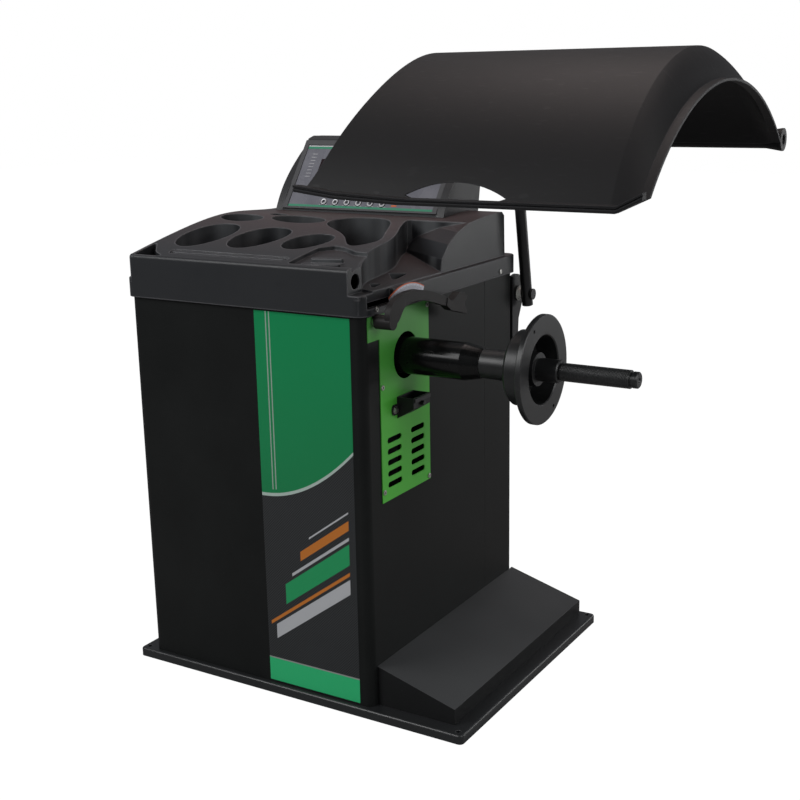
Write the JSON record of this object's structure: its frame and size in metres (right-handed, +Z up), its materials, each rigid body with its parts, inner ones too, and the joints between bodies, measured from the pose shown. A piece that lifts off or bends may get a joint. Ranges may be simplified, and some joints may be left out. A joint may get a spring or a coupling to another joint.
{
  "type": "wheel balancer",
  "caption": "Floor-standing wheel balancer: cabinet on a floor tray, moulded weight tray, sloping display, belt-driven spindle with flange, rim gauge and swing-down wheel guard.",
  "frame": {"origin": "centre of the four floor bolt holes, on the floor", "axes": "+X along the spindle towards the wheel, +Y to the back of the machine, +Z up"},
  "size_m": [1.269, 0.8962, 1.3529],
  "materials": {
    "tray_paint": "black powder coat",
    "cabinet_paint": "black powder coat",
    "panel_green": "green powder coat",
    "black_plastic": "fine moulded grain",
    "guard_plastic": "satin moulded",
    "console_plastic": "satin moulded",
    "bezel_silver": "satin moulded frame",
    "panel_print": "printed membrane",
    "key_plastic": "silver ring and dark cap",
    "spindle_steel": "blackened thread",
    "flange_steel": "blackened, turned",
    "housing_steel": "black gloss paint",
    "bearing_steel": "polished",
    "frame_steel": "dark paint",
    "spring_steel": "rolled",
    "motor_case": "cast",
    "pulley_alu": "machined",
    "belt_rubber": "ribbed",
    "board_green": "circuit board",
    "zinc": "zinc plated",
    "black_screw": "blackened",
    "gauge_plastic": "moulded",
    "claw_plastic": "moulded",
    "gauge_chrome": "polished rod",
    "scale_print": "printed",
    "tube_paint": "black powder coat",
    "washer_pale": "moulded",
    "holder_plastic": "moulded",
    "clip_steel": "satin",
    "inlet_black": "moulded",
    "foot_paint": "black powder coat"
  },
  "bodies": {
    "root": {"base_tray": "tray_paint", "bracket_bolts": "zinc", "display_bezel": "bezel_silver", "display_housing": "console_plastic", "display_panel": "panel_print", "drive_belt": "belt_rubber", "drive_motor": "motor_case", "encoder_reader": "inlet_black", "foot_box": "foot_paint", "force_sensors": "zinc", "front_bearing": "bearing_steel", "front_shell": "cabinet_paint", "gauge_guide": "motor_case", "gauge_scale": "scale_print", "guard_bracket": "frame_steel", "holder_clip": "clip_steel", "holder_screw": "zinc", "mains_inlet": "inlet_black", "motor_bracket": "frame_steel", "power_board": "board_green", "rear_bearing": "bearing_steel", "rear_cover": "cabinet_paint", "rear_cover_screws": "black_screw", "rear_shell": "cabinet_paint", "side_panel": "panel_green", "side_panel_screws": "zinc", "spindle_housing": "housing_steel", "spindle_post": "frame_steel", "spring_plates": "spring_steel", "switch_frame": "inlet_black", "tool_holder": "holder_plastic", "tray_screws": "zinc", "weight_tray": "black_plastic"},
    "spindle": {"spindle_shaft": "spindle_steel", "wheel_flange": "flange_steel", "driven_pulley": "pulley_alu", "encoder_disc": "pulley_alu"},
    "motor_rotor": {"motor_rotor": "spindle_steel"},
    "switch_key": {"switch_rocker": "inlet_black"},
    "gauge_swivel": {"gauge_sleeve": "gauge_chrome"},
    "gauge": {"gauge_rod": "gauge_chrome", "gauge_arm": "gauge_plastic", "gauge_claw": "claw_plastic"},
    "guard": {"guard_tube": "tube_paint", "guard_axle": "zinc", "pivot_washers": "washer_pale", "guard_shell": "guard_plastic", "guard_screws": "black_screw"},
    "key_1": {"display_key_1": "key_plastic"},
    "key_2": {"display_key_2": "key_plastic"},
    "key_3": {"display_key_3": "key_plastic"},
    "key_4": {"display_key_4": "key_plastic"},
    "key_5": {"display_key_5": "key_plastic"},
    "key_6": {"display_key_6": "key_plastic"}
  },
  "joints": [
    {"name": "spindle_spin", "type": "hinge", "parent": "root", "child": "spindle", "pos_m": [0.21, -0.174, 0.752], "axis": [1, 0, 0], "continuous": true},
    {"name": "rotor_spin", "type": "hinge", "parent": "root", "child": "motor_rotor", "pos_m": [0.01, -0.002, 0.58], "axis": [1, 0, 0], "continuous": true},
    {"name": "switch_rock", "type": "hinge", "parent": "root", "child": "switch_key", "pos_m": [-0.242, 0.318, 0.11], "axis": [1, 0, 0], "range_deg": [0, 12]},
    {"name": "gauge_swing", "type": "hinge", "parent": "root", "child": "gauge_swivel", "pos_m": [0.215, -0.295, 0.843], "axis": [1, 0, 0], "range_deg": [0, 40]},
    {"name": "gauge_pull", "type": "slide", "parent": "gauge_swivel", "child": "gauge", "axis": [1, 0, 0], "range_m": [0, 0.24]},
    {"name": "guard_lower", "type": "hinge", "parent": "root", "child": "guard", "pos_m": [0.234, 0.352, 0.8], "axis": [1, 0, 0], "range_deg": [0, 25]},
    {"name": "key_1_press", "type": "slide", "parent": "root", "child": "key_1", "axis": [0, 0.8111, -0.585], "range_m": [0, 0.001], "stiffness_N_per_m": 400},
    {"name": "key_2_press", "type": "slide", "parent": "root", "child": "key_2", "axis": [0, 0.8111, -0.585], "range_m": [0, 0.001], "stiffness_N_per_m": 400},
    {"name": "key_3_press", "type": "slide", "parent": "root", "child": "key_3", "axis": [0, 0.8111, -0.585], "range_m": [0, 0.001], "stiffness_N_per_m": 400},
    {"name": "key_4_press", "type": "slide", "parent": "root", "child": "key_4", "axis": [0, 0.8111, -0.585], "range_m": [0, 0.001], "stiffness_N_per_m": 400},
    {"name": "key_5_press", "type": "slide", "parent": "root", "child": "key_5", "axis": [0, 0.8111, -0.585], "range_m": [0, 0.001], "stiffness_N_per_m": 400},
    {"name": "key_6_press", "type": "slide", "parent": "root", "child": "key_6", "axis": [0, 0.8111, -0.585], "range_m": [0, 0.001], "stiffness_N_per_m": 400}
  ],
  "couplings": [
    {"joint": "rotor_spin", "follows": "spindle_spin", "ratio": 2.8182}
  ]
}
